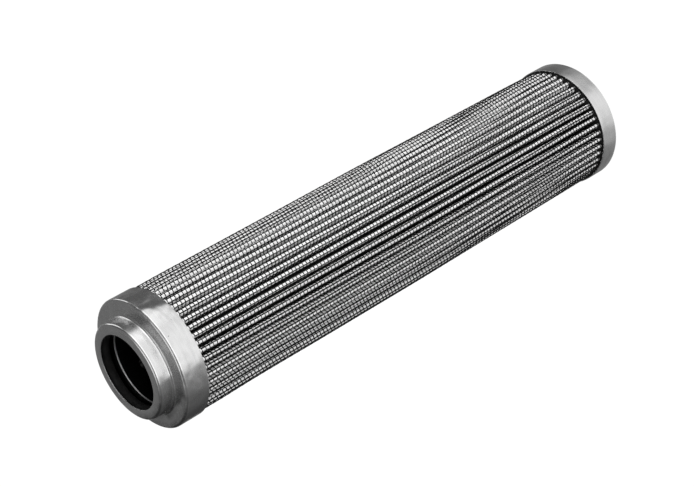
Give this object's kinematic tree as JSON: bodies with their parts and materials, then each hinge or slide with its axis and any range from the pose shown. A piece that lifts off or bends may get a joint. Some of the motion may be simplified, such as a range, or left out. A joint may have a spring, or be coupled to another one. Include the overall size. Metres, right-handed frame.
{
  "type": "pleated hydraulic filter element",
  "caption": "Slim pleated cylindrical filter element: closed pressed cap at one end, stepped cap with a sealed bore at the other, wire cloth outside, perforated tube inside.",
  "frame": {"origin": "centre of the closed end's flat face, on which the element stands", "axes": "+Z along the element's axis, from the closed end to the neck's mouth"},
  "size_m": [0.047, 0.047, 0.2196],
  "materials": {
    "end_cap_steel": "zinc-plated pressed sheet, satin, faint rubbed streaks",
    "retainer_steel": "plated sheet, satin",
    "seal_rubber": "black moulded rubber, slight sheen",
    "core_steel": "dark perforated sheet, rolled",
    "wire_cloth": "black epoxy-coated woven steel wire",
    "fleece": "white non-woven",
    "glass_fibre": "white glass-fibre mat",
    "clip_steel": "plated strip, satin",
    "adhesive": "black cast adhesive"
  },
  "bodies": {
    "root": {"open_end_cap": "end_cap_steel", "closed_end_cap": "end_cap_steel", "seal_retainer": "retainer_steel", "o_ring": "seal_rubber", "core_tube": "core_steel", "outer_wire_mesh": "wire_cloth", "outer_fleece": "fleece", "filter_media": "glass_fibre", "inner_fleece": "fleece", "inner_wire_mesh": "wire_cloth", "seam_clip": "clip_steel", "open_end_potting": "adhesive", "closed_end_potting": "adhesive"}
  },
  "joints": []
}
